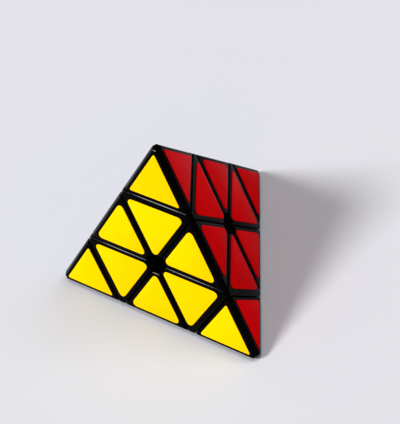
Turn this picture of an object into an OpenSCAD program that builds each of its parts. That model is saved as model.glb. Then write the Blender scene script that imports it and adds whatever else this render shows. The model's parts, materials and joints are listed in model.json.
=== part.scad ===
// Pyramid twisty puzzle: four tips, four axial pieces and six edge pieces that turn on a four-armed core.
// The origin is the centre of the core, and +Z runs out through the top corner.
// Each layer and each tip turns about the line from the origin to one corner of the pyramid.

/* [Body] */
// Edge of the sharp pyramid that the outer faces of the stickers make
edge_len = 102; // [84:1:124]
// Gap between two pieces that turn past each other
piece_gap = 0.3; // [0.2:0.05:0.4]
// Depth of the broad bevel along the six edges of the pyramid
ridge_cut = 2.2; // [1.6:0.1:2.6]
// Depth cut off each of the four corners of the pyramid
corner_cut = 5.7; // [4.6:0.1:6.4]
// Width of the fine bevel along every other edge of a piece
rim_w = 0.7; // [0.4:0.1:1.0]
// Depth that blunts the corners of tips and edge pieces that lie on the pyramid's edges
ridge_corner_cut = 2.4; // [1.8:0.1:2.8]
// Depth that blunts the corners of edge pieces in the middle of a face
tetra_corner_cut = 3.9; // [2.4:0.1:4.2]
// Depth that blunts the corners of axial pieces in the middle of a face
octa_corner_cut = 3.2; // [2:0.1:3.6]

/* [Stickers] */
// Thickness of a sticker
sticker_t = 0.3; // [0.15:0.05:0.5]
// Border from an edge of the sharp pyramid to a sticker
ridge_border = 3.7; // [3.2:0.1:4.2]
// Border from a tip's cut to its sticker
tip_border = 1.8; // [1.4:0.1:2.4]
// Border from an edge piece's cuts to its sticker
edge_border = 2.2; // [1.4:0.1:2.8]
// Border from the cut above an axial piece to its sticker
shoulder_border = 2.6; // [1.6:0.1:3.2]
// Border from an axial piece's other cuts to its sticker
axial_border = 1.6; // [1.4:0.1:2.4]
// Radius of a sticker's small corners
sticker_corner_r = 0.7; // [0.3:0.05:1.2]
// Radius of the corner that points to the middle of the face
sticker_inner_r = 1.9; // [0.6:0.1:2.6]

/* [Core] */
// Radius of the ball in the middle
core_r = 10.4; // [8.8:0.1:10.8]
// Radius of each of the four arms
arm_r = 3.15; // [2.6:0.05:3.6]
// Distance from the centre of the ball to the end of an arm
arm_len = 20; // [17:0.5:22]

/* [Turning pieces] */
// Radius of the hub that each axial piece turns on
hub_r = 6.8; // [5.6:0.1:7]
// Width of the neck between an edge piece and its foot
neck_w = 3.9; // [3.2:0.1:4.6]
// Running clearance round the ball and round the feet
foot_clear = 0.3; // [0.2:0.05:0.4]
// Gap between two feet that pass each other
foot_gap = 0.4; // [0.3:0.05:0.6]
// Radial clearance of a shaft in its bore
shaft_clear = 0.1; // [0.05:0.01:0.15]

/* [Tips] */
// Radius of the spigot that a tip turns on
spigot_r = 4; // [3.4:0.1:4.6]
// Length of the spigot
spigot_len = 3; // [2:0.1:4]
// Thickness of the round base of a tip
tip_base_t = 2; // [1.5:0.1:2.5]
// Least wall between the round base and the outside of a tip
tip_wall = 1.1; // [0.8:0.1:1.5]
// Gap for glue round the base
glue_gap = 0.05; // [0.02:0.01:0.1]

/* [Fasteners] */
// Radius of the screw's shank
screw_r = 1.5; // [1.2:0.05:1.7]
// Length of the shank that is screwed into an arm
screw_grip = 11; // [8:0.5:12]
// Radius of the screw's head, and of the washer under it
head_r = 2.7; // [2.5:0.1:2.9]
// Thickness of the screw's head
head_t = 1.8; // [1.4:0.1:2.2]
// Width of each slot of the cross in the head
slot_w = 0.7; // [0.5:0.1:0.9]
// Length of each slot of the cross
slot_len = 3.2; // [2:0.1:4]
// Depth of the cross
slot_depth = 1.0; // [0.6:0.1:1.2]
// Thickness of the washer
washer_t = 0.4; // [0.3:0.05:0.6]
// Radius of the spring's wire
wire_r = 0.3; // [0.2:0.02:0.34]
// Room between the wire and the shank that it winds round
wire_clear = 0.3; // [0.25:0.01:0.32]
// Length of the fitted spring
spring_len = 4; // [3.6:0.1:5]
// Number of turns of the spring
spring_turns = 4.5; // [3.5:0.5:4.5]
// Room for the screw, its head and its spring in the pieces that they pass through
screw_clear = 0.2; // [0.1:0.05:0.25]

/* [Hidden] */
CORNERS = ["top", "left", "right", "back"];
// Each corner's direction round +Z
AZIMUTHS = [0, 210, 330, 90];
// Colour of the face that lies opposite each corner
COLOURS = ["green", "red", "blue", "yellow"];
TINTS = [[0.0, 0.5, 0.2], [0.78, 0.02, 0.05], [0.0, 0.2, 0.65], [1.0, 0.9, 0.0]];
BLACK = [0.06, 0.06, 0.065];
PAIRS = [for (a = [0:2]) for (b = [a + 1:3]) [a, b]];

// Angle between the lines to two corners, and how far an outer face leans from its corner's line
axis_angle = acos(-1 / 3);
face_lean = axis_angle - 90;
// Half the angle between two faces of a tetrahedron, and between two faces of an octahedron
tetra_half = (180 - axis_angle) / 2;
octa_half = axis_angle / 2;
// The lines from the origin to the corners
AXES = [for (i = [0:3]) i == 0 ? [0, 0, 1] : leaning(axis_angle, AZIMUTHS[i])];

// Distances from the origin along a corner's line: a face, the plastic under its stickers, the cuts
// under a layer and under a tip, and the sharp corner
body_h = edge_len * sqrt(2 / 3);
face_z = body_h / 4;
skin_z = face_z - sticker_t;
layer_z = body_h / 12;
tip_z = 5 * body_h / 12;
corner_z = 3 * body_h / 4;
half_gap = piece_gap / 2;
// Distance from the origin to the broad bevels
ridge_z = edge_len / (2 * sqrt(2)) - ridge_cut;
// Middles of a tip and of an edge piece, and how far each middle lies along a line to one side
tip_mid_z = body_h / 2;
edge_mid_z = 2 * layer_z / cos(octa_half);
tip_side_z = tip_mid_z * cos(octa_half);
axial_side_z = face_z * cos(octa_half);
edge_side_z = edge_mid_z * cos(octa_half);
// Mean distance that the faces of a piece stand back from the sharp shape
setback = (half_gap + sticker_t) / 2;
// Distances from the middle of a tip or an edge piece to its faces, fine bevels and corners
tetra_in_r = body_h / 12 - setback;
tetra_rim_r = tetra_in_r * sqrt(3) - rim_w / (2 * tan(tetra_half));
tetra_point_r = 3 * tetra_in_r;
// The same for an axial piece
octa_in_r = body_h / 6 - setback;
octa_rim_r = octa_in_r * sqrt(3 / 2) - rim_w / (2 * tan(octa_half));
octa_point_r = octa_in_r * sqrt(3);
// Size of a block that is larger than the pyramid
span = 3 * edge_len;

// Inner line of an edge piece, the ball that its foot ends on, and the planes that bound the foot
line_z = (layer_z + half_gap) / cos(octa_half);
foot_r = line_z + neck_w / (2 * tan(tetra_half));
foot_plane = (foot_r + foot_gap) / 3;
ball_cut_r = core_r + foot_clear;
dish_r = foot_r + foot_clear;

// Places along a corner's line, from the core outwards
screw_bottom = arm_len - screw_grip;
bore_top = arm_len + foot_clear;
tip_bottom = tip_z + half_gap;
spigot_bottom = tip_bottom - spigot_len;
base_top = tip_bottom + tip_base_t;
spring_bottom = base_top + shaft_clear;
washer_bottom = spring_bottom + spring_len;
head_bottom = washer_bottom + washer_t;
head_top = head_bottom + head_t;
pocket_r = head_r + 2 * screw_clear;
pocket_top = head_top + screw_clear;
tip_base_r = (3 * skin_z - base_top) * tan(face_lean) - tip_wall / cos(face_lean);

// The spring's middle line: its radius, its rings and the part of a turn that lies flat at each end
coil_r = screw_r + wire_clear + wire_r;
rings_per_turn = 12;
wire_sides = 6;
flat_turn = 0.25;
coil_rings = spring_turns * rings_per_turn;
coil_rise = spring_len - 2 * wire_r;

// Each facet is a triangle with a third of the pyramid's edge, and its height is shared by the inner
// radius of its sticker, taken three times, and the borders on its three sides
facet_in_r = edge_len / (6 * sqrt(3));
tip_sticker_r = facet_in_r - (2 * ridge_border + tip_border) / 3;
edge_sticker_r = facet_in_r - (ridge_border + 2 * edge_border) / 3;
axial_sticker_r = facet_in_r - (shoulder_border + 2 * axial_border) / 3;
// Distance from the middle of a face to the middle of each sticker on it
tip_sticker_x = 3 * facet_in_r + tip_border + tip_sticker_r;
edge_sticker_x = 3 * facet_in_r - ridge_border - edge_sticker_r;
axial_sticker_x = 3 * facet_in_r - shoulder_border - axial_sticker_r;
arc_step = 15;

$fn = 96;

function unit(v) = v / norm(v);
function leaning(polar, azimuth) =
    [sin(polar) * cos(azimuth), sin(polar) * sin(azimuth), cos(polar)];
// Lines to the three other corners, from a corner on +Z
function side_dir(k) = leaning(axis_angle, 120 * k);
function pair_name(p) = str(CORNERS[p[0]], "_", CORNERS[p[1]]);
function edge_name(p) = str("edge_", pair_name(p));
function sticker_name(kind, place, f) = str("sticker_", kind, "_", place, "_", COLOURS[f]);
// Does the edge piece between two corners show on the face opposite corner f?
function on_face(p, f) = f != p[0] && f != p[1];
// Any direction that isn't along dir
function across(dir) = abs(dir[2]) > 0.9 ? [1, 0, 0] : [0, 0, 1];

// ---- helpers ----

// Turns +Z to z_dir, and +X as near as it goes to x_hint
module aim(z_dir, x_hint) {
    z = unit(z_dir);
    x = unit(x_hint - (x_hint * z) * z);
    y = cross(z, x);
    multmatrix([
        [x[0], y[0], z[0], 0],
        [x[1], y[1], z[1], 0],
        [x[2], y[2], z[2], 0],
        [0, 0, 0, 1]
    ])
        children();
}

// Everything between two distances along a direction
module slab(dir, low, high) {
    aim(dir, across(dir))
        translate([-span / 2, -span / 2, low])
            cube([span, span, high - low]);
}

// A ball whose seam is turned away from the edges of what it cuts
module ball(r) {
    rotate([0, 0, 25])
        sphere(r = r);
}

// A round bar between two heights
module rod(r, low, high) {
    translate([0, 0, low])
        cylinder(r = r, h = high - low);
}

// Puts a piece made round +Z, with its neighbours at 0, 120 and 240 degrees, at a corner
module at_corner(v) {
    aim(AXES[v], AXES[(v + 2) % 4])
        children();
}

// The same, once for each corner
module at_corners() {
    for (v = [0:3]) at_corner(v) children();
}

// Turns the three square directions of a piece made round +Z to the lines between its corners
module squared() {
    aim([0, 0, 1] + side_dir(0), [0, 0, 1] + side_dir(1))
        children();
}

// ---- core and fasteners ----

module core() {
    color(BLACK)
        difference() {
            union() {
                sphere(r = core_r);
                at_corners() rod(arm_r, 0, arm_len);
            }
            at_corners() rod(screw_r, screw_bottom, arm_len + 1);
        }
}

module arm_screw() {
    color([0.75, 0.76, 0.78])
        difference() {
            union() {
                rod(screw_r, screw_bottom, head_bottom);
                rod(head_r, head_bottom, head_top);
            }
            for (turn = [0, 90])
                rotate([0, 0, turn])
                    translate([-slot_len / 2, -slot_w / 2, head_top - slot_depth])
                        cube([slot_len, slot_w, slot_depth + 1]);
        }
}

module spring_washer() {
    color([0.6, 0.61, 0.63])
        difference() {
            rod(head_r, washer_bottom, head_bottom);
            rod(screw_r + shaft_clear, washer_bottom - 1, head_bottom + 1);
        }
}

// Height of the wire's middle after some turns: it lies flat at both ends
function climb(turns) =
    turns < flat_turn ? 0
    : turns > spring_turns - flat_turn ? coil_rise
    : coil_rise * (turns - flat_turn) / (spring_turns - 2 * flat_turn);

function wire_point(ring, side) =
    let (turns = ring / rings_per_turn)
    let (phi = 90 + 360 * side / wire_sides)
    let (r = coil_r + wire_r * cos(phi))
    [r * cos(360 * turns), r * sin(360 * turns), climb(turns) + wire_r * sin(phi)];

module tension_spring() {
    last_ring = coil_rings * wire_sides;
    points = [for (i = [0:coil_rings]) for (j = [0:wire_sides - 1]) wire_point(i, j)];
    walls = [
        for (i = [0:coil_rings - 1]) for (j = [0:wire_sides - 1])
            let (a = i * wire_sides, b = a + wire_sides, k = (j + 1) % wire_sides)
            [a + j, b + j, b + k, a + k]
    ];
    first_end = [for (j = [0:wire_sides - 1]) j];
    last_end = [for (j = [wire_sides - 1:-1:0]) last_ring + j];
    color([0.55, 0.56, 0.58])
        translate([0, 0, spring_bottom + wire_r])
            polyhedron(points, concat(walls, [first_end], [last_end]));
}

// ---- outer pieces ----

// A box along the three lines to the sides, between a low and a high distance on each
module side_box(low, high) {
    squared()
        translate([low, low, low])
            cube(high - low);
}

// Each slab's near side is a face, and its far side blunts the corner opposite that face
module tip_block() {
    intersection() {
        slab([0, 0, 1], tip_bottom, corner_z - corner_cut);
        intersection_for(k = [0:2])
            slab(side_dir(k), -skin_z, tetra_point_r - ridge_corner_cut - tip_mid_z / 3);
        side_box(tip_side_z - tetra_rim_r, ridge_z);
    }
}

module tip_cap() {
    color(BLACK)
        difference() {
            tip_block();
            rod(tip_base_r + glue_gap, tip_bottom - 1, base_top);
            rod(pocket_r, base_top - 1, pocket_top);
        }
}

module tip_base() {
    color([0.12, 0.12, 0.13])
        difference() {
            union() {
                rod(spigot_r, spigot_bottom, base_top);
                rod(tip_base_r, tip_bottom, base_top);
            }
            rod(screw_r + screw_clear, spigot_bottom - 1, base_top + 1);
        }
}

// A square bar whose four sides bevel four of the twelve edges of an octahedron
module bevel_bar() {
    rotate([0, 0, 45])
        cube([2 * octa_rim_r, 2 * octa_rim_r, span], center = true);
}

module axial_block() {
    intersection() {
        slab([0, 0, 1], layer_z + half_gap, tip_z - half_gap);
        intersection_for(k = [0:2]) slab(side_dir(k), -skin_z, layer_z - half_gap);
        side_box(axial_side_z - octa_point_r + octa_corner_cut, ridge_z);
        translate([0, 0, face_z])
            squared()
                intersection() {
                    bevel_bar();
                    rotate([90, 0, 0]) bevel_bar();
                    rotate([0, 90, 0]) bevel_bar();
                }
    }
}

// An octahedron, hollowed for the feet that slide under it, on a hub that turns on an arm of the core
module axial_piece() {
    color(BLACK)
        difference() {
            union() {
                difference() {
                    axial_block();
                    ball(dish_r);
                }
                rod(hub_r, 0, dish_r);
            }
            ball(ball_cut_r);
            rod(arm_r + shaft_clear, 0, bore_top);
            rod(screw_r + screw_clear, bore_top - 1, tip_z);
            rod(spigot_r + shaft_clear, spigot_bottom - foot_clear, tip_z);
        }
}

// Between two distances along the lines of the two corners of an edge piece made along +Z
module between_corners(low, high) {
    intersection_for(s = [-1, 1])
        slab([s * sin(octa_half), 0, cos(octa_half)], low, high);
}

module edge_block() {
    bottom = edge_mid_z - tetra_rim_r;
    intersection() {
        between_corners(layer_z + half_gap, edge_side_z + tetra_point_r - ridge_corner_cut);
        intersection_for(s = [-1, 1])
            slab([0, s * sin(octa_half), -cos(octa_half)], -skin_z,
                tetra_point_r - tetra_corner_cut - edge_side_z);
        rotate([0, 0, 45])
            translate([-tetra_rim_r, -tetra_rim_r, bottom])
                cube([2 * tetra_rim_r, 2 * tetra_rim_r, ridge_z - bottom]);
    }
}

// A tetrahedron with a foot that is wider than its neck, so that the axial pieces hold it in
module edge_piece(p) {
    color(BLACK)
        aim(AXES[p[0]] + AXES[p[1]], AXES[p[0]])
            difference() {
                union() {
                    edge_block();
                    intersection() {
                        between_corners(foot_plane, foot_r);
                        sphere(r = foot_r);
                    }
                }
                ball(ball_cut_r);
            }
}

// ---- stickers ----

// Triangle with a corner along +X, and round corners
module sticker_outline(in_r, first_r) {
    radii = [first_r, sticker_corner_r, sticker_corner_r];
    polygon([
        for (k = [0:2]) for (turn = [-60:arc_step:60])
            2 * (in_r - radii[k]) * [cos(120 * k), sin(120 * k)]
            + radii[k] * [cos(120 * k + turn), sin(120 * k + turn)]
    ]);
}

// Puts an outline on the face opposite corner f, at a distance from the middle of the face
module on_facet(f, towards, x) {
    color(TINTS[f])
        aim(-AXES[f], towards)
            translate([x, 0, skin_z])
                linear_extrude(sticker_t)
                    children();
}

module tip_sticker(v, f) {
    on_facet(f, AXES[v], tip_sticker_x)
        sticker_outline(tip_sticker_r, sticker_corner_r);
}

module axial_sticker(v, f) {
    on_facet(f, AXES[v], axial_sticker_x)
        rotate(180) sticker_outline(axial_sticker_r, sticker_inner_r);
}

module edge_sticker(p, f) {
    on_facet(f, AXES[p[0]] + AXES[p[1]], edge_sticker_x)
        rotate(180) sticker_outline(edge_sticker_r, sticker_inner_r);
}

// ---- nodes ----

core();
at_corners() arm_screw();  // arm_screws
at_corners() spring_washer();  // spring_washers
at_corners() tension_spring();  // tension_springs

for (v = [0:3]) {
    at_corner(v) tip_cap();
    at_corner(v) tip_base();
    at_corner(v) axial_piece();
    for (f = [0:3]) if (f != v) {
        tip_sticker(v, f);
        axial_sticker(v, f);
    }
}

for (p = PAIRS) {
    edge_piece(p);
    for (f = [0:3]) if (on_face(p, f))
        edge_sticker(p, f);
}
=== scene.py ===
"""Finished look of a pyramid twisty puzzle.

Moulded black tips, axial pieces and edge pieces with rounded rims, glossy vinyl stickers, the finishes
of the sprung core inside, and a plain studio. Lengths are in metres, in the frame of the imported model:
the origin is the centre of the core, and +Z runs out through the top corner.
"""

import json
import logging
import math
from dataclasses import dataclass
from enum import Enum
from itertools import combinations

import bpy
from mathutils import Matrix, Vector


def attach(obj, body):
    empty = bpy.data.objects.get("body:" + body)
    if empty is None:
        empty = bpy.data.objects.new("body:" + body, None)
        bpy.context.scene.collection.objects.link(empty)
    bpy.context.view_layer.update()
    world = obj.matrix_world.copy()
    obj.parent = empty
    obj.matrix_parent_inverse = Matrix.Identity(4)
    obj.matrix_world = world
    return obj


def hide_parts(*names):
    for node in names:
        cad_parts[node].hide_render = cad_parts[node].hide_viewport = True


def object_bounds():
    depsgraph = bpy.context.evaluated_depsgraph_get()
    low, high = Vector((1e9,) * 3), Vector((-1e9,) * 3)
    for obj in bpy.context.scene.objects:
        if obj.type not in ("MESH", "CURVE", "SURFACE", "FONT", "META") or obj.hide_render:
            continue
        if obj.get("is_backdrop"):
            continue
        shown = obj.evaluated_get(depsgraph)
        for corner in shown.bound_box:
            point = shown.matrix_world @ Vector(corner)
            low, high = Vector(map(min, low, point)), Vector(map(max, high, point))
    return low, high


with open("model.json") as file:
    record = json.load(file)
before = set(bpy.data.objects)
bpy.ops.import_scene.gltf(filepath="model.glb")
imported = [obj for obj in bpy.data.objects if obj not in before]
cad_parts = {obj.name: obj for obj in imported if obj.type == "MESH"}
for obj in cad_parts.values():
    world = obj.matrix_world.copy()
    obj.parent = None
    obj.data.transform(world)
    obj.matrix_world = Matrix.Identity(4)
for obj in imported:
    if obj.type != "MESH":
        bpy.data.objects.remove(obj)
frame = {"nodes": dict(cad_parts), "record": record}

LOG = logging.getLogger("puzzle")
MM = 0.001
AXIS_ANGLE = math.acos(-1 / 3)
UP = Vector((0, 0, 1))
ROUND_SIDES = 96
# How far a tool reaches beyond the surface that it cuts or joins
BEYOND = 1 * MM
# Points nearer than a speck are one point, and a cut closes gaps up to a weld
SPECK = 1e-7
WELD = 1e-6


class Colour(Enum):
    """The four colours of vinyl."""

    GREEN = "green"
    RED = "red"
    BLUE = "blue"
    YELLOW = "yellow"


class Corner(Enum):
    """The four corners of the pyramid: azimuth of its line round +Z in degrees, and the colour opposite."""

    TOP = ("top", None, Colour.GREEN)
    LEFT = ("left", 210, Colour.RED)
    RIGHT = ("right", 330, Colour.BLUE)
    BACK = ("back", 90, Colour.YELLOW)

    @property
    def word(self) -> str:
        """The word that stands for the corner in the names of its pieces."""
        return self.value[0]

    @property
    def opposite(self) -> Colour:
        """Colour of the face that lies opposite the corner."""
        return self.value[2]

    @property
    def line(self) -> Vector:
        """Unit vector from the origin to the corner."""
        if self.value[1] is None:
            return UP.copy()
        return leaning(self.value[1])


CORNERS = list(Corner)
PAIRS = list(combinations(CORNERS, 2))


def leaning(azimuth: float) -> Vector:
    """Gives the line of a corner that isn't on +Z.

    Args:
        azimuth: the corner's direction round +Z, in degrees.

    Returns:
        A unit vector.
    """
    turn = math.radians(azimuth)
    across = math.sin(AXIS_ANGLE)
    return Vector((across * math.cos(turn), across * math.sin(turn), math.cos(AXIS_ANGLE)))


def aimed(z_dir: Vector, x_hint: Vector) -> Matrix:
    """Builds a turn that takes +Z to a direction, and +X as near as it goes to a hint.

    Args:
        z_dir: where +Z goes.
        x_hint: any direction that isn't along z_dir.

    Returns:
        A 4 x 4 rotation.
    """
    z = z_dir.normalized()
    x = (x_hint - x_hint.dot(z) * z).normalized()
    return Matrix((x, z.cross(x), z)).transposed().to_4x4()


@dataclass(frozen=True)
class Plan:
    """Sizes that the pieces share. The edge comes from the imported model, and the rest is set here."""

    edge: float
    piece_gap: float = 0.3 * MM
    ridge_cut: float = 2.2 * MM
    corner_cut: float = 5.7 * MM
    ridge_corner_cut: float = 2.4 * MM
    tetra_corner_cut: float = 3.9 * MM
    octa_corner_cut: float = 3.2 * MM
    sticker_t: float = 0.3 * MM
    ridge_border: float = 3.7 * MM
    tip_border: float = 1.8 * MM
    edge_border: float = 2.2 * MM
    shoulder_border: float = 2.6 * MM
    axial_border: float = 1.6 * MM
    core_r: float = 10.4 * MM
    arm_r: float = 3.15 * MM
    arm_len: float = 20 * MM
    hub_r: float = 6.8 * MM
    neck_w: float = 3.9 * MM
    foot_clear: float = 0.3 * MM
    foot_gap: float = 0.4 * MM
    shaft_clear: float = 0.1 * MM
    spigot_r: float = 4 * MM
    spigot_len: float = 3 * MM
    tip_base_t: float = 2 * MM
    tip_wall: float = 1.1 * MM
    glue_gap: float = 0.05 * MM
    screw_r: float = 1.5 * MM
    head_r: float = 2.7 * MM
    head_t: float = 1.8 * MM
    washer_t: float = 0.4 * MM
    spring_len: float = 4 * MM
    screw_clear: float = 0.2 * MM

    @property
    def body_h(self) -> float:
        """Height of the sharp pyramid."""
        return self.edge * math.sqrt(2 / 3)

    @property
    def skin(self) -> float:
        """Distance from the origin to the plastic under the stickers."""
        return self.body_h / 4 - self.sticker_t

    @property
    def layer_z(self) -> float:
        """Distance from the origin to the cut under a layer."""
        return self.body_h / 12

    @property
    def tip_z(self) -> float:
        """Distance from the origin to the cut under a tip."""
        return 5 * self.body_h / 12

    @property
    def half_gap(self) -> float:
        """Half the gap between two pieces."""
        return self.piece_gap / 2

    @property
    def ridge_z(self) -> float:
        """Distance from the origin to the broad bevels."""
        return self.edge / (2 * math.sqrt(2)) - self.ridge_cut

    @property
    def setback(self) -> float:
        """Mean distance that a piece's faces stand back from the sharp shape."""
        return (self.half_gap + self.sticker_t) / 2

    @property
    def tetra_point(self) -> float:
        """Distance from the middle of a tip or an edge piece to its sharp corners."""
        return 3 * (self.body_h / 12 - self.setback)

    @property
    def octa_point(self) -> float:
        """Distance from the middle of an axial piece to its sharp corners."""
        return math.sqrt(3) * (self.body_h / 6 - self.setback)

    @property
    def line_cos(self) -> float:
        """Cosine between a corner's line and the line to the middle of an edge beside it."""
        return math.cos(AXIS_ANGLE / 2)

    @property
    def foot_r(self) -> float:
        """Radius of the ball that an edge piece's foot ends on."""
        neck = self.neck_w / (2 * math.tan((math.pi - AXIS_ANGLE) / 2))
        return (self.layer_z + self.half_gap) / self.line_cos + neck

    @property
    def pocket_r(self) -> float:
        """Radius of the pocket round the screw's head."""
        return self.head_r + 2 * self.screw_clear

    @property
    def pocket_h(self) -> float:
        """Height of the pocket over a tip's base, for the spring, the washer and the screw's head."""
        return self.shaft_clear + self.spring_len + self.washer_t + self.head_t + self.screw_clear

    @property
    def facet_in_r(self) -> float:
        """Inner radius of one of the nine triangles of a face."""
        return self.edge / (6 * math.sqrt(3))


class Bench:
    """Modelling moves on one object at a time, made with Blender's own operators."""

    @staticmethod
    def clear() -> None:
        """Deselects everything."""
        bpy.ops.object.select_all(action="DESELECT")

    @staticmethod
    def pick(piece: bpy.types.Object) -> None:
        """Selects one object only, and makes it active."""
        Bench.clear()
        piece.select_set(True)
        bpy.context.view_layer.objects.active = piece

    @staticmethod
    def block(size: float) -> bpy.types.Object:
        """Adds a block round the origin that is cut down later."""
        Bench.clear()
        bpy.ops.mesh.primitive_cube_add(size=size)
        return bpy.context.active_object

    @staticmethod
    def rod(radius: float, low: float, high: float) -> bpy.types.Object:
        """Adds a round bar along +Z.

        Args:
            radius: its radius.
            low: its lower end.
            high: its upper end.

        Returns:
            The new object.
        """
        Bench.clear()
        bpy.ops.mesh.primitive_cylinder_add(
            vertices=ROUND_SIDES, radius=radius, depth=high - low, location=(0, 0, (low + high) / 2)
        )
        bar = bpy.context.active_object
        bpy.ops.object.transform_apply(location=True, rotation=True, scale=True)
        return bar

    @staticmethod
    def ball(radius: float) -> bpy.types.Object:
        """Adds a ball round the origin."""
        Bench.clear()
        bpy.ops.mesh.primitive_uv_sphere_add(
            segments=ROUND_SIDES, ring_count=ROUND_SIDES // 2, radius=radius
        )
        return bpy.context.active_object

    @staticmethod
    def slice(piece: bpy.types.Object, cuts: list[tuple[Vector, float]]) -> None:
        """Cuts away everything beyond each plane, and closes the cut.

        Args:
            piece: the object to cut.
            cuts: each plane's outward direction and its distance from the origin.
        """
        Bench.pick(piece)
        bpy.ops.object.mode_set(mode="EDIT")
        for direction, distance in cuts:
            normal = direction.normalized()
            bpy.ops.mesh.select_all(action="SELECT")
            bpy.ops.mesh.bisect(
                plane_co=normal * distance, plane_no=normal, use_fill=True, clear_outer=True,
                threshold=SPECK,
            )
        bpy.ops.mesh.select_all(action="SELECT")
        bpy.ops.mesh.remove_doubles(threshold=WELD)
        bpy.ops.object.mode_set(mode="OBJECT")
        Bench.face_out(piece)

    @staticmethod
    def finish(piece: bpy.types.Object, kind: str, **settings: object) -> None:
        """Adds one modifier and applies it.

        Args:
            piece: the object.
            kind: the modifier's type.
            settings: its properties.
        """
        Bench.pick(piece)
        modifier = piece.modifiers.new(kind.lower(), kind)
        for name, value in settings.items():
            setattr(modifier, name, value)
        bpy.ops.object.modifier_apply(modifier=modifier.name)

    @staticmethod
    def join(piece: bpy.types.Object, tool: bpy.types.Object, operation: str) -> None:
        """Adds, takes away or intersects a tool, which is used up."""
        Bench.finish(piece, "BOOLEAN", operation=operation, object=tool, solver="EXACT")
        bpy.data.objects.remove(tool, do_unlink=True)

    @staticmethod
    def volume(piece: bpy.types.Object) -> float:
        """Gives the volume that a closed mesh holds, which is negative if its faces point inwards."""
        mesh = piece.data
        mesh.calc_loop_triangles()
        total = 0.0
        for triangle in mesh.loop_triangles:
            first, second, third = (mesh.vertices[index].co for index in triangle.vertices)
            total += first.dot(second.cross(third)) / 6
        return total

    @staticmethod
    def face_out(piece: bpy.types.Object) -> None:
        """Turns every face outwards: all alike first, and then all over if they point inwards."""
        Bench.pick(piece)
        bpy.ops.object.mode_set(mode="EDIT")
        bpy.ops.mesh.select_all(action="SELECT")
        bpy.ops.mesh.remove_doubles(threshold=SPECK)
        bpy.ops.mesh.normals_make_consistent(inside=False)
        bpy.ops.object.mode_set(mode="OBJECT")
        if Bench.volume(piece) < 0:
            bpy.ops.object.mode_set(mode="EDIT")
            bpy.ops.mesh.select_all(action="SELECT")
            bpy.ops.mesh.flip_normals()
            bpy.ops.object.mode_set(mode="OBJECT")

    @staticmethod
    def smooth(piece: bpy.types.Object, degrees: float = 32) -> None:
        """Shades an object smooth where its faces meet at less than an angle."""
        Bench.pick(piece)
        bpy.ops.object.shade_smooth_by_angle(angle=math.radians(degrees))

    @staticmethod
    def placed(pattern: bpy.types.Object, name: str, turn: Matrix) -> bpy.types.Object:
        """Copies a pattern into place, with its place in its mesh.

        Args:
            pattern: the object to copy.
            name: name of the copy.
            turn: where it goes.

        Returns:
            The copy.
        """
        Bench.pick(pattern)
        bpy.ops.object.duplicate(linked=False)
        copy = bpy.context.active_object
        copy.name = name
        copy.data.name = name
        copy.matrix_world = turn
        bpy.ops.object.transform_apply(location=True, rotation=True, scale=True)
        return copy


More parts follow.
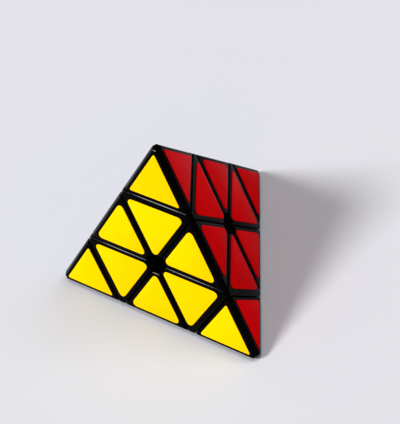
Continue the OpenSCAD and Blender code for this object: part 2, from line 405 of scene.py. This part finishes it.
class Groups:
    """Node groups that several finishes share, each built once."""

    wave_detail: float = 2.0
    grain_detail: float = 3.0
    marks_detail: float = 5.0
    marks_roughness: float = 0.6
    marks_distortion: float = 0.6
    marks_from: float = 0.42
    marks_to: float = 0.68

    def __init__(self) -> None:
        """Builds both groups."""
        self.mould_skin = self._mould_skin()
        self.finger_marks = self._finger_marks()

    @staticmethod
    def _new(name: str, inputs: dict[str, float], outputs: list[str]) -> bpy.types.NodeTree:
        """Makes an empty group.

        Args:
            name: the group's name.
            inputs: each input's name and default.
            outputs: the names of its outputs.

        Returns:
            The group, with its input and output nodes.
        """
        tree = bpy.data.node_groups.new(name, "ShaderNodeTree")
        tree.interface.new_socket("Vector", in_out="INPUT", socket_type="NodeSocketVector")
        for socket, value in inputs.items():
            made = tree.interface.new_socket(socket, in_out="INPUT", socket_type="NodeSocketFloat")
            made.default_value = value
        for socket in outputs:
            tree.interface.new_socket(socket, in_out="OUTPUT", socket_type="NodeSocketFloat")
        tree.nodes.new("NodeGroupInput").location = (-600, 0)
        tree.nodes.new("NodeGroupOutput").location = (600, 0)
        return tree

    @classmethod
    def _mould_skin(cls) -> bpy.types.NodeTree:
        """The faint waviness of a moulded or rolled surface, with a finer grain on it.

        Returns:
            A group that puts out a height.
        """
        tree = cls._new("mould_skin", {"Wave Scale": 180.0, "Grain Scale": 2600.0, "Grain Share": 0.3},
                        ["Height"])
        source, sink = tree.nodes["Group Input"], tree.nodes["Group Output"]
        wave = tree.nodes.new("ShaderNodeTexNoise")
        wave.inputs["Detail"].default_value = cls.wave_detail
        grain = tree.nodes.new("ShaderNodeTexNoise")
        grain.inputs["Detail"].default_value = cls.grain_detail
        both = tree.nodes.new("ShaderNodeMix")
        link = tree.links.new
        for noise, scale in ((wave, "Wave Scale"), (grain, "Grain Scale")):
            link(source.outputs["Vector"], noise.inputs["Vector"])
            link(source.outputs[scale], noise.inputs["Scale"])
        link(source.outputs["Grain Share"], both.inputs["Factor"])
        link(wave.outputs["Fac"], both.inputs["A"])
        link(grain.outputs["Fac"], both.inputs["B"])
        link(both.outputs["Result"], sink.inputs["Height"])
        return tree

    @classmethod
    def _finger_marks(cls) -> bpy.types.NodeTree:
        """Soft patches where fingers have dulled the shine.

        Returns:
            A group that puts out a mask, and a roughness that runs from clean to dulled by it.
        """
        tree = cls._new("finger_marks", {"Scale": 60.0, "Clean": 0.2, "Dulled": 0.35},
                        ["Mask", "Roughness"])
        source, sink = tree.nodes["Group Input"], tree.nodes["Group Output"]
        patches = tree.nodes.new("ShaderNodeTexNoise")
        patches.inputs["Detail"].default_value = cls.marks_detail
        patches.inputs["Roughness"].default_value = cls.marks_roughness
        patches.inputs["Distortion"].default_value = cls.marks_distortion
        mask = tree.nodes.new("ShaderNodeMapRange")
        mask.interpolation_type = "SMOOTHSTEP"
        mask.inputs["From Min"].default_value = cls.marks_from
        mask.inputs["From Max"].default_value = cls.marks_to
        shine = tree.nodes.new("ShaderNodeMapRange")
        link = tree.links.new
        link(source.outputs["Vector"], patches.inputs["Vector"])
        link(source.outputs["Scale"], patches.inputs["Scale"])
        link(patches.outputs["Fac"], mask.inputs["Value"])
        link(mask.outputs["Result"], sink.inputs["Mask"])
        link(mask.outputs["Result"], shine.inputs["Value"])
        link(source.outputs["Clean"], shine.inputs["To Min"])
        link(source.outputs["Dulled"], shine.inputs["To Max"])
        link(shine.outputs["Result"], sink.inputs["Roughness"])
        return tree


@dataclass(frozen=True)
class Finish:
    """One finish: its colours, how it shines, and how deep its surface texture is."""

    name: str
    colour: tuple[float, float, float]
    marked: tuple[float, float, float]
    clean: float
    dulled: float
    wave_depth: float
    marks_scale: float = 60.0
    wave_scale: float = 180.0
    grain_scale: float = 2600.0
    grain_share: float = 0.3
    metallic: float = 0.0
    specular: float = 0.5
    stretch: tuple[float, float, float] = (1.0, 1.0, 1.0)

    def build(self, groups: Groups) -> bpy.types.Material:
        """Builds the finish as a material.

        Args:
            groups: the shared node groups.

        Returns:
            The material.
        """
        material = bpy.data.materials.new(self.name)
        material.use_nodes = True
        nodes, link = material.node_tree.nodes, material.node_tree.links.new
        shader = nodes["Principled BSDF"]
        shader.inputs["Metallic"].default_value = self.metallic
        shader.inputs["Specular IOR Level"].default_value = self.specular
        place = nodes.new("ShaderNodeTexCoord")
        scaled = nodes.new("ShaderNodeMapping")
        scaled.inputs["Scale"].default_value = self.stretch
        marks = self._group(nodes, groups.finger_marks, {
            "Scale": self.marks_scale, "Clean": self.clean, "Dulled": self.dulled,
        })
        skin = self._group(nodes, groups.mould_skin, {
            "Wave Scale": self.wave_scale, "Grain Scale": self.grain_scale, "Grain Share": self.grain_share,
        })
        tint = nodes.new("ShaderNodeMix")
        tint.data_type = "RGBA"
        tint.inputs["A"].default_value = (*self.colour, 1)
        tint.inputs["B"].default_value = (*self.marked, 1)
        bump = nodes.new("ShaderNodeBump")
        bump.inputs["Strength"].default_value = 1.0
        bump.inputs["Distance"].default_value = self.wave_depth
        link(place.outputs["Object"], scaled.inputs["Vector"])
        link(scaled.outputs["Vector"], marks.inputs["Vector"])
        link(scaled.outputs["Vector"], skin.inputs["Vector"])
        link(marks.outputs["Mask"], tint.inputs["Factor"])
        link(tint.outputs["Result"], shader.inputs["Base Color"])
        link(marks.outputs["Roughness"], shader.inputs["Roughness"])
        link(skin.outputs["Height"], bump.inputs["Height"])
        link(bump.outputs["Normal"], shader.inputs["Normal"])
        return material

    @staticmethod
    def _group(
        nodes: bpy.types.Nodes, tree: bpy.types.NodeTree, values: dict[str, float]
    ) -> bpy.types.Node:
        """Places a shared group in a material, with its own values.

        Args:
            nodes: the material's nodes.
            tree: the group.
            values: each input's name and value.

        Returns:
            The group's node.
        """
        node = nodes.new("ShaderNodeGroup")
        node.node_tree = tree
        for socket, value in values.items():
            node.inputs[socket].default_value = value
        return node


BLACK_PLASTIC = Finish(
    "black_plastic", (0.0014, 0.0014, 0.0018), (0.0026, 0.0026, 0.0031),
    clean=0.14, dulled=0.22, wave_depth=0.012 * MM, specular=0.1,
)
CORE_PLASTIC = Finish(
    "core_plastic", (0.018, 0.018, 0.019), (0.026, 0.026, 0.027),
    clean=0.45, dulled=0.6, wave_depth=0.04 * MM, grain_share=0.6,
)
SCREW_STEEL = Finish(
    "screw_steel", (0.72, 0.73, 0.75), (0.6, 0.61, 0.64),
    clean=0.16, dulled=0.3, wave_depth=0.01 * MM, metallic=1.0, stretch=(1.0, 1.0, 4.0),
)
WASHER_STEEL = Finish(
    "washer_steel", (0.6, 0.61, 0.63), (0.48, 0.49, 0.52),
    clean=0.28, dulled=0.4, wave_depth=0.01 * MM, metallic=1.0,
)
SPRING_STEEL = Finish(
    "spring_steel", (0.5, 0.51, 0.53), (0.36, 0.37, 0.4),
    clean=0.24, dulled=0.38, wave_depth=0.01 * MM, metallic=1.0,
)
VINYL_SHADES = {
    Colour.GREEN: ((0.0, 0.32, 0.041), (0.0, 0.27, 0.035)),
    Colour.RED: ((0.66, 0.0, 0.005), (0.59, 0.0, 0.004)),
    Colour.BLUE: ((0.0, 0.035, 0.53), (0.0, 0.03, 0.45)),
    Colour.YELLOW: ((1.0, 0.67, 0.0), (0.98, 0.64, 0.0)),
}


def vinyl(colour: Colour) -> Finish:
    """Gives the finish of one colour of vinyl.

    Args:
        colour: which colour.

    Returns:
        Its finish.
    """
    clean, marked = VINYL_SHADES[colour]
    return Finish(
        f"sticker_{colour.value}", clean, marked, clean=0.22, dulled=0.28, wave_depth=0.006 * MM,
        marks_scale=45.0, wave_scale=140.0, grain_scale=1800.0, grain_share=0.2, specular=0.02,
    )


class Paints:
    """All the materials, each built once."""

    def __init__(self) -> None:
        """Builds the materials."""
        groups = Groups()
        self.black = BLACK_PLASTIC.build(groups)
        self.inside = {
            finish.name: finish.build(groups)
            for finish in (CORE_PLASTIC, SCREW_STEEL, WASHER_STEEL, SPRING_STEEL)
        }
        self.vinyl = {colour: vinyl(colour).build(groups) for colour in Colour}

    @staticmethod
    def coat(piece: bpy.types.Object, material: bpy.types.Material) -> None:
        """Gives an object one material all over."""
        if piece.material_slots:
            for slot in piece.material_slots:
                slot.material = material
        else:
            piece.data.materials.append(material)


@dataclass
class Mouldings:
    """The black mouldings: four tip caps, four axial pieces and six edge pieces."""

    plan: Plan
    paints: Paints
    rim_w: float = 0.7 * MM
    rim_turn: float = math.radians(60)
    round_w: float = 0.14 * MM
    round_steps: int = 3
    round_turn: float = math.radians(12)

    @property
    def sides(self) -> list[Vector]:
        """Lines to the three other corners, from a corner on +Z."""
        return [leaning(120 * k) for k in range(3)]

    def build(self) -> None:
        """Models each shape once, and copies it to its places."""
        tip, axial, edge = self._tip_cap(), self._axial(), self._edge()
        for index, corner in enumerate(CORNERS):
            turn = aimed(corner.line, CORNERS[(index + 2) % 4].line)
            self._settle(tip, f"tip_cap_{corner.word}", f"tip_{corner.word}", turn)
            self._settle(axial, f"axial_{corner.word}", f"axial_{corner.word}_unit", turn)
        for first, second in PAIRS:
            name = f"edge_{first.word}_{second.word}"
            self._settle(edge, name, f"{name}_unit", aimed(first.line + second.line, first.line))
        for pattern in (tip, axial, edge):
            bpy.data.objects.remove(pattern, do_unlink=True)

    def _settle(self, pattern: bpy.types.Object, node: str, body: str, turn: Matrix) -> None:
        """Puts one copy in its place, on its body, in place of its node.

        Args:
            pattern: the shape to copy.
            node: the node that it stands for.
            body: the body that it rides on.
            turn: where it goes.
        """
        piece = Bench.placed(pattern, f"{node}_moulding", turn)
        Bench.smooth(piece)
        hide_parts(node)
        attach(piece, body)
        LOG.info("%s: %d faces", piece.name, len(piece.data.polygons))

    def _rounded(self, piece: bpy.types.Object) -> None:
        """Bevels the rims of a block, softens every edge, and gives it its material."""
        Bench.finish(
            piece, "BEVEL", offset_type="WIDTH", width=self.rim_w, segments=1, limit_method="ANGLE",
            angle_limit=self.rim_turn,
        )
        Bench.finish(
            piece, "BEVEL", width=self.round_w, segments=self.round_steps, limit_method="ANGLE",
            angle_limit=self.round_turn,
        )
        Bench.face_out(piece)
        Paints.coat(piece, self.paints.black)

    def _tip_cap(self) -> bpy.types.Object:
        """Models a tip on +Z, hollowed from below for its base and the screw's head.

        Returns:
            The pattern.
        """
        p = self.plan
        bottom = p.tip_z + p.half_gap
        block = Bench.block(3 * p.edge)
        cuts = [(-UP, -bottom), (UP, 3 * p.body_h / 4 - p.corner_cut)]
        for side in self.sides:
            cuts.append((-side, p.skin))
            cuts.append((side, p.tetra_point - p.ridge_corner_cut - p.body_h / 6))
            cuts.append((UP + side, p.ridge_z))
        Bench.slice(block, cuts)
        self._rounded(block)
        base_top = bottom + p.tip_base_t
        lean = AXIS_ANGLE - math.pi / 2
        base_r = (3 * p.skin - base_top) * math.tan(lean) - p.tip_wall / math.cos(lean)
        Bench.join(block, Bench.rod(base_r + p.glue_gap, bottom - BEYOND, base_top), "DIFFERENCE")
        Bench.join(block, Bench.rod(p.pocket_r, base_top - BEYOND, base_top + p.pocket_h), "DIFFERENCE")
        Bench.face_out(block)
        return block

    def _axial(self) -> bpy.types.Object:
        """Models an axial piece on +Z: an octahedron, dished below, on its hub.

        Returns:
            The pattern.
        """
        p = self.plan
        block = Bench.block(3 * p.edge)
        cuts = [(-UP, -p.layer_z - p.half_gap), (UP, p.tip_z - p.half_gap)]
        inner = -p.body_h / 4 * p.line_cos + p.octa_point - p.octa_corner_cut
        for side in self.sides:
            cuts.append((-side, p.skin))
            cuts.append((side, p.layer_z - p.half_gap))
            cuts.append((UP + side, p.ridge_z))
            cuts.append((-UP - side, inner))
        Bench.slice(block, cuts)
        self._rounded(block)
        dish_r = p.foot_r + p.foot_clear
        bore_top = p.arm_len + p.foot_clear
        spigot_low = p.tip_z + p.half_gap - p.spigot_len - p.foot_clear
        Bench.join(block, Bench.ball(dish_r), "DIFFERENCE")
        Bench.join(block, Bench.rod(p.hub_r, 0, dish_r + BEYOND / 2), "UNION")
        Bench.join(block, Bench.ball(p.core_r + p.foot_clear), "DIFFERENCE")
        Bench.join(block, Bench.rod(p.arm_r + p.shaft_clear, -BEYOND, bore_top), "DIFFERENCE")
        top = p.tip_z + BEYOND
        Bench.join(block, Bench.rod(p.screw_r + p.screw_clear, bore_top - BEYOND, top), "DIFFERENCE")
        Bench.join(block, Bench.rod(p.spigot_r + p.shaft_clear, spigot_low, top), "DIFFERENCE")
        Bench.face_out(block)
        Paints.coat(block, self.paints.black)
        return block

    def _edge(self) -> bpy.types.Object:
        """Models an edge piece on +Z, with its foot.

        Returns:
            The pattern.
        """
        p = self.plan
        half = AXIS_ANGLE / 2
        block, foot = Bench.block(3 * p.edge), Bench.ball(p.foot_r)
        mid = 2 * p.layer_z
        foot_plane = (p.foot_r + p.foot_gap) / 3
        cuts: list[tuple[Vector, float]] = [(UP, p.ridge_z)]
        for s in (-1, 1):
            along = Vector((s * math.sin(half), 0, math.cos(half)))
            outward = Vector((0, s * math.sin(half), -math.cos(half)))
            cuts.append((-along, -p.layer_z - p.half_gap))
            cuts.append((along, mid + p.tetra_point - p.ridge_corner_cut))
            cuts.append((-outward, p.skin))
            cuts.append((outward, p.tetra_point - p.tetra_corner_cut - mid))
            Bench.slice(foot, [(-along, -foot_plane)])
        Bench.slice(block, cuts)
        self._rounded(block)
        Bench.join(block, foot, "UNION")
        Bench.join(block, Bench.ball(p.core_r + p.foot_clear), "DIFFERENCE")
        Bench.face_out(block)
        Paints.coat(block, self.paints.black)
        return block


@dataclass
class Stickers:
    """The thirty-six triangular stickers, cut from vinyl sheet with round corners and a soft top edge."""

    plan: Plan
    paints: Paints
    corner_r: float = 0.7 * MM
    inner_r: float = 1.9 * MM
    lip: float = 0.09 * MM
    lip_steps: int = 3
    corner_steps: int = 10
    smooth_to: float = 50

    def build(self) -> None:
        """Cuts each kind of sticker once for each place on the four faces."""
        p = self.plan
        tip_r = p.facet_in_r - (2 * p.ridge_border + p.tip_border) / 3
        edge_r = p.facet_in_r - (p.ridge_border + 2 * p.edge_border) / 3
        axial_r = p.facet_in_r - (p.shoulder_border + 2 * p.axial_border) / 3
        tip_x = 3 * p.facet_in_r + p.tip_border + tip_r
        edge_x = 3 * p.facet_in_r - p.ridge_border - edge_r
        axial_x = 3 * p.facet_in_r - p.shoulder_border - axial_r
        tip = self._cut(tip_r, self.corner_r, outward=True)
        axial = self._cut(axial_r, self.inner_r, outward=False)
        edge = self._cut(edge_r, self.inner_r, outward=False)
        for face in CORNERS:
            for corner in (c for c in CORNERS if c is not face):
                word = corner.word
                self._stick(tip, f"tip_{word}", f"tip_{word}", face, corner.line, tip_x)
                self._stick(axial, f"axial_{word}", f"axial_{word}_unit", face, corner.line, axial_x)
            for first, second in (pair for pair in PAIRS if face not in pair):
                place = f"edge_{first.word}_{second.word}"
                self._stick(edge, place, f"{place}_unit", face, first.line + second.line, edge_x)
        for pattern in (tip, axial, edge):
            bpy.data.objects.remove(pattern, do_unlink=True)

    def _cut(self, in_r: float, first_r: float, outward: bool) -> bpy.types.Object:
        """Cuts a sticker round the origin, on the plane of the plastic.

        Args:
            in_r: inner radius of the triangle.
            first_r: radius of the corner that lies on the X axis.
            outward: whether that corner points along +X or along -X.

        Returns:
            The pattern.
        """
        quarter = -math.pi / 2 if outward else math.pi / 2
        Bench.clear()
        bpy.ops.mesh.primitive_circle_add(
            vertices=3, radius=2 * in_r, fill_type="NGON", rotation=(0, 0, quarter)
        )
        bpy.ops.object.transform_apply(location=True, rotation=True, scale=True)
        sheet = bpy.context.active_object
        for near_axis, radius in ((True, first_r), (False, self.corner_r)):
            self._round(sheet, near_axis, radius, in_r)
        bpy.ops.object.mode_set(mode="EDIT")
        bpy.ops.mesh.select_all(action="SELECT")
        bpy.ops.mesh.extrude_region_move(TRANSFORM_OT_translate={"value": (0, 0, self.plan.sticker_t)})
        bpy.ops.mesh.select_all(action="SELECT")
        bpy.ops.mesh.normals_make_consistent(inside=False)
        bpy.ops.object.mode_set(mode="OBJECT")
        for edge in sheet.data.edges:
            ends = [sheet.data.vertices[v].co.z for v in edge.vertices]
            edge.select = min(ends) > self.plan.sticker_t / 2
        bpy.ops.object.mode_set(mode="EDIT")
        bpy.ops.mesh.select_mode(type="EDGE")
        bpy.ops.mesh.bevel(offset=self.lip, segments=self.lip_steps, affect="EDGES", profile=0.5)
        bpy.ops.mesh.select_mode(type="VERT")
        bpy.ops.object.mode_set(mode="OBJECT")
        return sheet

    def _round(self, sheet: bpy.types.Object, near_axis: bool, radius: float, in_r: float) -> None:
        """Rounds the corner on the X axis, or the two others.

        Args:
            sheet: the flat triangle.
            near_axis: whether the corner on the X axis is rounded.
            radius: radius of the round.
            in_r: inner radius of the triangle.
        """
        Bench.pick(sheet)
        corner_reach = 2 * in_r - MM / 100
        for vertex in sheet.data.vertices:
            sharp = vertex.co.length > corner_reach
            vertex.select = sharp and (abs(vertex.co.y) < in_r / 2) == near_axis
        bpy.ops.object.mode_set(mode="EDIT")
        bpy.ops.mesh.bevel(
            offset=radius * math.sqrt(3), segments=self.corner_steps, affect="VERTICES", profile=0.5,
            clamp_overlap=False,
        )
        bpy.ops.mesh.select_all(action="DESELECT")
        bpy.ops.object.mode_set(mode="OBJECT")

    def _stick(
        self, pattern: bpy.types.Object, place: str, body: str, face: Corner, towards: Vector, x: float
    ) -> None:
        """Sticks one copy on a face.

        Args:
            pattern: the sticker to copy.
            place: the piece that it is on, as its node's name gives it.
            body: the body that it rides on.
            face: the corner opposite the face.
            towards: direction of the sticker from the middle of the face.
            x: distance of its middle from the middle of the face.
        """
        node = f"sticker_{place}_{face.opposite.value}"
        turn = aimed(-face.line, towards) @ Matrix.Translation((x, 0, self.plan.skin))
        piece = Bench.placed(pattern, f"{node}_vinyl", turn)
        Bench.smooth(piece, self.smooth_to)
        Paints.coat(piece, self.paints.vinyl[face.opposite])
        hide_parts(node)
        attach(piece, body)


@dataclass
class Works:
    """The pieces inside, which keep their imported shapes."""

    paints: Paints

    def build(self) -> None:
        """Gives each inner piece its finish."""
        for row in frame["record"]["subparts"]:
            finish = self.paints.inside.get(row["material_slot"])
            if finish:
                Paints.coat(frame["nodes"][row["node"]], finish)
                LOG.info("%s: %s", row["node"], row["material_slot"])


@dataclass(frozen=True)
class Light:
    """A soft light, so large and far off that it falls evenly over the floor.

    Its width is how wide it looks from the puzzle, in degrees, and its strength is what falls on a surface
    that faces it, in watts a square metre.
    """

    name: str
    towards: tuple[float, float, float]
    width: float
    strength: float
    colour: tuple[float, float, float]

    def hang(self) -> None:
        """Adds the light, which shines from its direction at the origin."""
        lamp = bpy.data.lights.new(self.name, "SUN")
        lamp.angle = math.radians(self.width)
        lamp.energy = self.strength
        lamp.color = self.colour
        sky = bpy.data.objects.new(self.name, lamp)
        bpy.context.scene.collection.objects.link(sky)
        sky.rotation_euler = Vector(self.towards).to_track_quat("Z", "Y").to_euler()


LIGHTS = (
    Light("key", (-0.45, -0.585, 0.684), width=15, strength=2.1, colour=(1.0, 1.0, 1.0)),
    Light("overhead", (-0.05, 0.1, 0.9), width=21, strength=0.72, colour=(1.0, 0.99, 0.98)),
    Light("back", (0.45, 0.5, 0.75), width=25, strength=0.7, colour=(0.97, 0.98, 1.0)),
)


@dataclass
class Studio:
    """A pale floor, soft lights and the camera."""

    floor_z: float
    floor_size: float = 6.0
    floor_shades: tuple[tuple[float, float, float], ...] = ((0.57, 0.57, 0.597), (0.60, 0.60, 0.623))
    floor_roughness: float = 0.8
    floor_specular: float = 0.05
    floor_mottle: float = 3.0
    room_colour: tuple[float, float, float] = (0.94, 0.95, 1.0)
    room_low: float = 0.53
    room_high: float = 0.085
    room_fade: float = 0.5
    lens: float = 107.4
    nearest: float = 10 * MM
    camera_at: Vector = Vector((0.22409, -0.22020, 0.40216))
    look_at: Vector = Vector((0.0021, 0.0108, 0.0054))
    roll: float = -15.85

    def build(self) -> None:
        """Sets the stage."""
        self._floor()
        self._room()
        for light in LIGHTS:
            light.hang()
        self._camera()

    def _floor(self) -> None:
        """Lays the floor under the lowest stickers."""
        Bench.clear()
        bpy.ops.mesh.primitive_plane_add(size=self.floor_size, location=(0, 0, self.floor_z))
        floor = bpy.context.active_object
        floor.name = "floor"
        material = bpy.data.materials.new("pale_floor")
        material.use_nodes = True
        nodes, link = material.node_tree.nodes, material.node_tree.links.new
        shader = nodes["Principled BSDF"]
        shader.inputs["Roughness"].default_value = self.floor_roughness
        shader.inputs["Specular IOR Level"].default_value = self.floor_specular
        place, noise = nodes.new("ShaderNodeTexCoord"), nodes.new("ShaderNodeTexNoise")
        noise.inputs["Scale"].default_value = self.floor_mottle
        shade = nodes.new("ShaderNodeMix")
        shade.data_type = "RGBA"
        for socket, colour in zip("AB", self.floor_shades):
            shade.inputs[socket].default_value = (*colour, 1)
        link(place.outputs["Object"], noise.inputs["Vector"])
        link(noise.outputs["Fac"], shade.inputs["Factor"])
        link(shade.outputs["Result"], shader.inputs["Base Color"])
        floor.data.materials.append(material)
        floor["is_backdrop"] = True

    def _room(self) -> None:
        """Fills the room with a low light that fades upwards, and sets how the scene is viewed."""
        world = bpy.data.worlds.new("room")
        bpy.context.scene.world = world
        world.use_nodes = True
        nodes, link = world.node_tree.nodes, world.node_tree.links.new
        place, split = nodes.new("ShaderNodeTexCoord"), nodes.new("ShaderNodeSeparateXYZ")
        fade = nodes.new("ShaderNodeMapRange")
        fade.inputs["From Max"].default_value = self.room_fade
        fade.inputs["To Min"].default_value = self.room_low
        fade.inputs["To Max"].default_value = self.room_high
        background = nodes["Background"]
        background.inputs["Color"].default_value = (*self.room_colour, 1)
        link(place.outputs["Generated"], split.inputs["Vector"])
        link(split.outputs["Z"], fade.inputs["Value"])
        link(fade.outputs["Result"], background.inputs["Strength"])
        settings = bpy.context.scene.view_settings
        settings.view_transform = "Standard"
        settings.look = "High Contrast"

    def _camera(self) -> None:
        """Sets the camera up, rolled about its line of sight."""
        forward = (self.look_at - self.camera_at).normalized()
        right = forward.cross(UP).normalized()
        up = right.cross(forward)
        roll = math.radians(self.roll)
        tilted_up = math.cos(roll) * up - math.sin(roll) * right
        lens = bpy.data.cameras.new("camera")
        lens.lens = self.lens
        lens.clip_start = self.nearest
        camera = bpy.data.objects.new("camera", lens)
        bpy.context.scene.collection.objects.link(camera)
        turn = Matrix((forward.cross(tilted_up), tilted_up, -forward)).transposed().to_4x4()
        camera.matrix_world = Matrix.Translation(self.camera_at) @ turn
        bpy.context.scene.camera = camera


def main() -> None:
    """Builds the puzzle's look and its studio."""
    logging.basicConfig(level=logging.INFO, format="%(message)s")
    cad_box = [list(corner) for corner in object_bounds()]
    floor_z = cad_box[0][2]
    plan = Plan(edge=-4 * floor_z / math.sqrt(2 / 3))
    LOG.info("edge of the sharp pyramid: %.2f mm", plan.edge / MM)
    paints = Paints()
    Mouldings(plan, paints).build()
    Stickers(plan, paints).build()
    Works(paints).build()
    Studio(floor_z).build()


if __name__ == "__main__":
    main()
